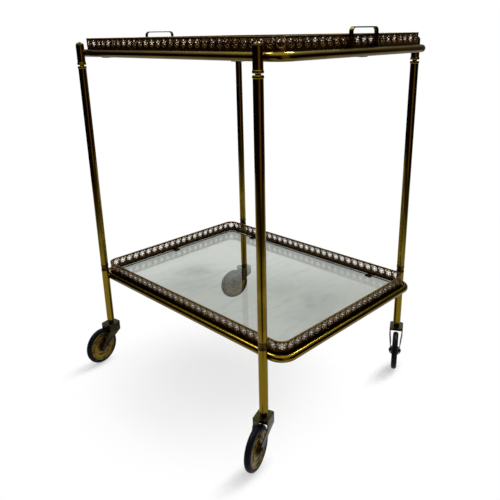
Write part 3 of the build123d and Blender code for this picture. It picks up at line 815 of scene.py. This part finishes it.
    def rings_on_diagonals(self, shape, half, bend, ring_z):
        """One ring on each corner's diagonal: the distance along the wall becomes an angle about the
        corner's centre, which is the distance divided by the wall's radius."""
        clouds = []
        centre = half - bend
        for side_x, side_y in ((1, 1), (-1, 1), (-1, -1), (1, -1)):
            middle = math.atan2(side_y, side_x)
            for face, sense in ((bend, 1.0), (bend - self.WALL, -1.0)):
                bearing = middle + shape[None, :, 0] / face
                reach = face + sense * shape[None, :, 2]
                x = side_x * centre[0] + reach * np.cos(bearing)
                y = side_y * centre[1] + reach * np.sin(bearing)
                level = np.broadcast_to(ring_z + shape[:, 1], bearing.shape)
                clouds.append(np.stack([x, y, level], -1))
        return clouds


class CART_OT_glass(bpy.types.Operator):
    """Finish the two sheets of glass with ground edges, and the metal that carries them"""

    bl_idname = "cart.glass"
    bl_label = "Glass tiers"

    def execute(self, context):
        _, deep, patina = brass_colours(context.scene)
        settings = context.scene.cart_glass
        glass = clear_glass("glass", tuple(settings.tint), tuple(settings.shadow))
        unlit = bpy.data.collections[WITHOUT_GLINTS]
        for node in ("lower_glass", "tray_glass"):
            unlit.objects.link(smoother_copy(node, f"{node}_sheet", settings.edge, glass))
        for held in unlit.collection_objects:
            held.light_linking.link_state = "EXCLUDE"
        tab = aged_brass("tab_metal", deep, patina, tarnish=0.5, rough=0.34, seed=12.1, lacquer=0.04)
        coat(tab, "lower_glass_tabs", "tray_ledge", "tray_rests")
        return {"FINISHED"}


class CART_OT_tray_handles(bpy.types.Operator):
    """Ease the edges of the tray's strap handles and darken them"""

    bl_idname = "cart.tray_handles"
    bl_label = "Tray handles"

    EASE = 0.0004

    def execute(self, context):
        _, deep, patina = brass_colours(context.scene)
        finish = aged_brass("handle_brass", deep, patina, tarnish=0.45, rough=0.20, seed=10.3)
        for side in ("left", "right"):
            name = f"tray_handle_{side}"
            smoother_copy(name, f"{name}_strap", self.EASE, finish)
        coat(finish, "tray_handle_rivets")
        return {"FINISHED"}


class CART_OT_casters(bpy.types.Operator):
    """Turn the wheels and tyres, ease the forks' edges and finish the stems and axles"""

    bl_idname = "cart.casters"
    bl_label = "Casters"

    # One half of each outline, from the middle of the wheel along the axle and out from it, in mm
    WHEEL = (
        (9.0, 3.05), (9.0, 8.5), (5.6, 9.6), (4.0, 12.0), (5.2, 12.4), (5.2, 13.5), (4.0, 13.9),
        (4.0, 19.8), (5.2, 20.2), (5.2, 21.6), (4.0, 22.0), (4.0, 29.4), (5.45, 29.9), (5.45, 33.0),
        (4.35, 33.0), (4.35, 31.0),
    )
    TYRE = (
        (4.3, 31.05), (4.3, 33.05), (6.0, 33.05), (6.0, 36.0), (5.33, 38.5), (3.5, 40.33), (1.0, 41.0),
    )
    TURNED_STEPS = 96
    RINGS_ACROSS_DISC = 90.0
    # Heights between which the painted shade on the forks' arms, under the hoods, fades out towards the hoods
    FORK_SHADE = (0.045, 0.080)
    FORK_EASE = 0.0005
    DUST = (0.008, 0.009, 0.012)
    SCUFF = (0.018, 0.019, 0.022)
    RUST = (0.05, 0.024, 0.010)

    def execute(self, context):
        settings = context.scene.cart_casters
        rubber = tyre_rubber("tyre", tuple(settings.rubber), self.DUST, self.SCUFF)
        disc = turned_brass("wheel_brass", tuple(settings.wheel), self.RINGS_ACROSS_DISC)
        steel = dull_steel("dark_steel", tuple(settings.steel), self.RUST)
        fork = tuple(settings.metal)
        sheet_metal = aged_brass(
            "caster_metal", fork, shaded(fork, 0.5),
            tarnish=0.58, rough=0.27, seed=14.3, lacquer=0.04, painted_shade=self.FORK_SHADE,
        )
        for corner in CORNERS:
            for node, half, finish, slot in (
                ("wheel", self.WHEEL, disc, "wheel_brass"),
                ("tyre", self.TYRE, rubber, "tyre"),
            ):
                self.turn(node, corner, half, settings.ease, finish, slot)
            name = f"caster_fork_{corner}"
            smoother_copy(name, f"fork_sheet_{corner}", self.FORK_EASE, sheet_metal)
            coat(steel, f"caster_axle_{corner}", f"caster_stem_{corner}")
        coat(steel, "leg_joiners", "leg_neck_pins")
        return {"FINISHED"}

    def turn(self, node, corner, half, ease, finish, slot):
        """A wheel or tyre: half an outline and its mirror image, eased and turned about the axle."""
        hub = node_centre(f"caster_wheel_{corner}")
        half = np.array(half) * MM
        outline = eased(np.concatenate([half, half[::-1] * (-1.0, 1.0)]), ease)
        points, quads, uv = turned(outline, hub, self.axle_direction(corner), self.TURNED_STEPS)
        name, body = f"{node}_turned_{corner}", f"wheel_{corner}"
        made = new_piece(name, points, quads, uv, body, finish, 40.0)
        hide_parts(f"caster_{node}_{corner}")

    def axle_direction(self, corner):
        """Level, and square to the line from the caster's stem to its hub."""
        arm = node_centre(f"caster_wheel_{corner}") - node_centre(f"caster_stem_{corner}")
        arm = arm[:2] / np.linalg.norm(arm[:2])
        return (-arm[1], arm[0], 0.0)


class CART_OT_stage(bpy.types.Operator):
    """Set the pale floor, the dark cards that the metal reflects, the lamps, the sky and the camera"""

    bl_idname = "cart.stage"
    bl_label = "Stage"

    # Where each lamp shines from, and the left glint's share of the back one's strength
    SUN_FROM = (-0.07, 0.49, 0.87)
    BACK_GLINT_FROM = (-0.10, 0.53, 0.84)
    LEFT_GLINT_FROM = (-0.50, -0.07, 0.86)
    LEFT_GLINT_SHARE = 0.5
    # The floor's half side, and in metal the distances over which its near glow fades and its far glow
    # rises towards the back, and what stretches the plan of the painted shadow under the cart to a unit
    # circle
    FLOOR_REACH = 12.0
    NEAR_GLOW_FADES = (1.40, 0.85)
    BACK_GLOW_RISES = (-0.3, 0.5)
    UNDER_CART = (1 / 0.27, 1 / 0.21, 0.0)
    # The floor's painted soft shadow, and the painted shadow streak behind each wheel: its step from the
    # wheel's middle, how it is narrowed, and the distances over which both fade
    SHADE_CENTRE = (0.0, -0.13, 0.0)
    SHADE_FADES = (0.32, 0.05)
    STREAK_STEP = (0.0, -0.035, 0.0)
    STREAK_NARROWED = (3.0, 1.0, 1.0)
    STREAK_FADES = (0.085, 0.01)
    # The room's wall: its foot, its steps round and rows up, its tone, and the heights between which it
    # opens behind the cart
    WALL_FOOT = 0.004
    WALL_STEPS = 96
    WALL_ROWS = 5
    DARK_TONE = (0.006, 0.004, 0.003)
    GAP_LOW = 0.5
    GAP_HIGH = 1.15
    # Its two patches: each one's tone, its way as shares of towards the camera and to the right, and how
    # nearly a point has to lie that way where the patch starts and where it is full
    WARM_TONE = (0.27, 0.17, 0.09)
    WARM_WAY = (0.927, 0.375)
    WARM_STARTS = (0.935, 0.985)
    PALE_TONE = (0.10, 0.09, 0.07)
    PALE_WAY = (-0.574, 0.819)
    PALE_STARTS = (0.82, 0.97)
    # The dark strip, a painted shadow: its tone, its start, half its width there and at the wall, its height,
    # the distances over which it darkens and the slopes over which its sides fade
    STRIP_TONE = (0.02, 0.011, 0.004)
    STRIP_START = 0.5
    STRIP_HALF_NEAR = 0.3
    STRIP_HALF_FAR = 0.8
    STRIP_HEIGHT = 0.002
    STRIP_DARKENS = (0.58, 0.82)
    STRIP_SIDES = (0.10, 0.34)

    def execute(self, context):
        settings = context.scene.cart_stage
        bpy.data.collections.new(WITHOUT_GLINTS)
        self.floor(settings)
        self.room(settings)
        self.strip(settings)
        self.sky(context.scene, settings)
        self.sunlight("soft_sun", self.SUN_FROM, settings.sun, settings.sun_blur)
        back, left = settings.glint, self.LEFT_GLINT_SHARE * settings.glint
        self.sunlight("back_glint", self.BACK_GLINT_FROM, back, settings.glint_blur, True)
        self.sunlight("left_glint", self.LEFT_GLINT_FROM, left, settings.glint_blur, True)
        self.camera(context.scene, settings)
        context.scene.view_settings.view_transform = "Standard"
        return {"FINISHED"}

    def add(self, name, points, quads, finish):
        """A piece of the stage."""
        mesh = bpy.data.meshes.new(name)
        mesh.from_pydata(points.tolist(), [], quads.tolist())
        mesh.materials.append(finish)
        made = bpy.data.objects.new(name, mesh)
        bpy.context.scene.collection.objects.link(made)
        return made

    def floor(self, settings):
        """A level square, white where it is seen, apart from painted shadows where the lamp-lit matt floor
        shows instead: a soft patch before the cart and a streak behind each wheel. Metal sees it bright near
        the cart, darker under the cart as a painted shadow, and bright behind and dark before the cart
        further off."""
        made, sheet = material("studio_floor")
        place = sheet.place()
        back = (0.0 - sheet.along(place, TO_CAMERA)).rise(*self.BACK_GLOW_RISES)
        far = back * settings.floor_back_glow + settings.floor_front_glow
        near = sheet.reach(place).rise(*self.NEAR_GLOW_FADES)
        # Painted shadow under the cart, in reflections only
        under = sheet.reach(sheet.stretched(place, *self.UNDER_CART)).rise(1.0, 0.6)
        under = under * sheet.light_path("Is Reflection Ray") * settings.floor_dark_under
        lit = (near * settings.floor_glow + (1.0 - near) * far) * (1.0 - under)
        glossy = sheet.light_path("Is Glossy Ray")
        white = sheet.glow(WHITE, 1.0 - glossy * (1.0 - lit))
        # Painted shadows: the soft patch and each wheel's streak
        shade = sheet.distance(place, self.SHADE_CENTRE).rise(*self.SHADE_FADES) * settings.floor_shade
        for corner in CORNERS:
            streak = node_centre(f"caster_wheel_{corner}") * (1.0, 1.0, 0.0) + self.STREAK_STEP
            away = sheet.stretched(sheet.moved(place, tuple(-streak)), *self.STREAK_NARROWED)
            shade = shade + sheet.reach(away).rise(*self.STREAK_FADES) * settings.streak
        matt = sheet.node("ShaderNodeBsdfDiffuse", {}, {"Color": tuple(settings.floor_tone)})
        share_white = sheet.seen() * (1.0 - shade.held()).most(glossy)
        sheet.finish(sheet.between(share_white, matt, white))
        sign = np.array([(-1, -1, 0), (1, -1, 0), (1, 1, 0), (-1, 1, 0)])
        self.add("studio_floor", self.FLOOR_REACH * sign, np.array([(0, 1, 2, 3)]), made)

    def room(self, settings):
        """The wall of the dark room that only shiny surfaces see: each point of it stands on a circle of
        the room's radius. It thins out to nothing towards its upper edge and in a gap low down behind the
        cart, and has a warm patch and a pale one."""
        made, sheet = material("dark_room")
        place = sheet.place()
        toward = sheet.along(place, TO_CAMERA) / settings.room_radius
        right = sheet.along(place, TO_RIGHT) / settings.room_radius
        z = sheet.part(place, 2)
        wall = 1.0 - (z / settings.room_height).rise(0.30, 1.0)
        behind = (0.0 - toward).rise(0.78, 0.92)
        past_low, past_high = (z / self.GAP_LOW).rise(0.80, 1.0), (z / self.GAP_HIGH).rise(0.80, 1.0)
        gap = behind * (1.0 - past_high) * past_low
        warm = (toward * self.WARM_WAY[0] + right * self.WARM_WAY[1]).rise(*self.WARM_STARTS)
        pale = (toward * self.PALE_WAY[0] + right * self.PALE_WAY[1]).rise(*self.PALE_STARTS)
        tone = sheet.blend(warm, self.DARK_TONE, self.WARM_TONE)
        tone = sheet.blend(pale, tone, self.PALE_TONE)
        sheet.finish(sheet.between(wall * (1.0 - gap), sheet.clear(WHITE), sheet.glow(tone, 1.0)))
        grid = (self.WALL_ROWS, self.WALL_STEPS)
        circle = round_section(settings.room_radius, self.WALL_STEPS)
        height = np.linspace(self.WALL_FOOT, settings.room_height, self.WALL_ROWS)[:, None, None]
        ring = np.concatenate(
            [np.broadcast_to(circle, (*grid, 2)), np.broadcast_to(height, (*grid, 1))], -1
        )
        quads, _ = grid_quads(*grid, False)
        self.only_in_metal(self.add("dark_room_wall", ring.reshape(-1, 3), quads, made))

    def strip(self, settings):
        """A painted shadow for metal: a dark sheet just off the floor, seen only in shiny surfaces, that
        widens towards the camera.
        """
        made, sheet = material("dark_strip")
        place = sheet.place()
        toward, right = sheet.along(place, TO_CAMERA), sheet.along(place, TO_RIGHT)
        across = right.math("ABSOLUTE", right) / toward
        amount = toward.rise(*self.STRIP_DARKENS) * (1.0 - across.rise(*self.STRIP_SIDES))
        sheet.finish(sheet.between(amount, sheet.clear(WHITE), sheet.glow(self.STRIP_TONE, 1.0)))
        near, far = self.STRIP_START * TO_CAMERA, settings.room_radius * TO_CAMERA
        near_side, far_side = self.STRIP_HALF_NEAR * TO_RIGHT, self.STRIP_HALF_FAR * TO_RIGHT
        points = np.array([near - near_side, far - far_side, far + far_side, near + near_side])
        points = points + (0.0, 0.0, self.STRIP_HEIGHT)
        self.only_in_metal(self.add("dark_room_strip", points, np.array([(0, 1, 2, 3)]), made))

    def only_in_metal(self, card):
        """Hide a card from all but shiny surfaces."""
        card.visible_camera = False
        card.visible_diffuse = False
        card.visible_transmission = False
        card.visible_shadow = False

    def sky(self, scene, settings):
        """White where it is seen, and a softer fill where it lights matt surfaces."""
        world = bpy.data.worlds.new("studio_sky")
        sheet = Sheet(world)
        seen = sheet.seen()
        amount = seen + (1.0 - seen) * settings.fill
        shader = sheet.node("ShaderNodeBackground", {}, {"Color": WHITE, "Strength": amount})
        sheet.finish(shader, "ShaderNodeOutputWorld")
        scene.world = world

    def sunlight(self, name, source, energy, angle, only_shine=False):
        """A sun that shines from the given direction and fills the angle. It lights matt surfaces alone,
        or else it only shows in shiny metal, and not after a matt bounce."""
        light = bpy.data.lights.new(name, "SUN")
        light.energy = energy
        light.angle = angle
        made = bpy.data.objects.new(name, light)
        made.rotation_euler = Vector(source).to_track_quat("Z", "Y").to_euler()
        if only_shine:
            made.light_linking.receiver_collection = bpy.data.collections[WITHOUT_GLINTS]
            sheet = Sheet(light)
            unbounced = (1.0 - sheet.light_path("Diffuse Depth")).held()
            sheet.finish(sheet.glow(WHITE, unbounced), "ShaderNodeOutputLight")
        made.visible_glossy = only_shine
        made.visible_diffuse = not only_shine
        made.visible_transmission = False
        bpy.context.scene.collection.objects.link(made)

    def camera(self, scene, settings):
        """The photograph's own viewpoint, worked out from the edges of the legs, rails and wheels."""
        lens = bpy.data.cameras.new("photo_camera")
        lens.sensor_width = 36.0
        lens.lens = settings.lens
        lens.shift_x = -0.0153
        lens.shift_y = -0.0539
        camera = bpy.data.objects.new("photo_camera", lens)
        camera.matrix_world = Matrix(
            (
                (0.7139, -0.2118, 0.6674, 0.8287),
                (0.7000, 0.2404, -0.6725, -0.8093),
                (-0.0180, 0.9473, 0.3198, 0.7210),
                (0.0, 0.0, 0.0, 1.0),
            )
        )
        scene.collection.objects.link(camera)
        scene.camera = camera


OPERATORS = (
    CART_OT_stage,
    CART_OT_rails,
    CART_OT_legs,
    CART_OT_galleries,
    CART_OT_glass,
    CART_OT_tray_handles,
    CART_OT_casters,
)


class CART_PT_looks(bpy.types.Panel):
    """Lists the sizes, the colours and the operators"""

    bl_idname = "CART_PT_looks"
    bl_label = "Bar cart"
    bl_space_type = "VIEW_3D"
    bl_region_type = "UI"
    bl_category = "Bar cart"

    def draw(self, context):
        for holder, group in SETTINGS.items():
            box = self.layout.box()
            box.label(text=holder.replace("_", " ").capitalize())
            for name in group.__annotations__:
                box.prop(getattr(context.scene, holder), name)
        for operator in OPERATORS:
            self.layout.operator(operator.bl_idname)


CLASSES = (*SETTINGS.values(), *OPERATORS, CART_PT_looks)


def register():
    """Add the classes, and the settings to each scene."""
    for each in CLASSES:
        bpy.utils.register_class(each)
    for holder, group in SETTINGS.items():
        setattr(bpy.types.Scene, holder, PointerProperty(type=group))


def unregister():
    """Take them away again."""
    for holder in SETTINGS:
        delattr(bpy.types.Scene, holder)
    for each in reversed(CLASSES):
        bpy.utils.unregister_class(each)


def main():
    """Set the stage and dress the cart."""
    register()
    bpy.ops.cart.stage()
    bpy.ops.cart.rails()
    bpy.ops.cart.legs()
    bpy.ops.cart.galleries()
    bpy.ops.cart.glass()
    bpy.ops.cart.tray_handles()
    bpy.ops.cart.casters()


if __name__ == "__main__":
    main()
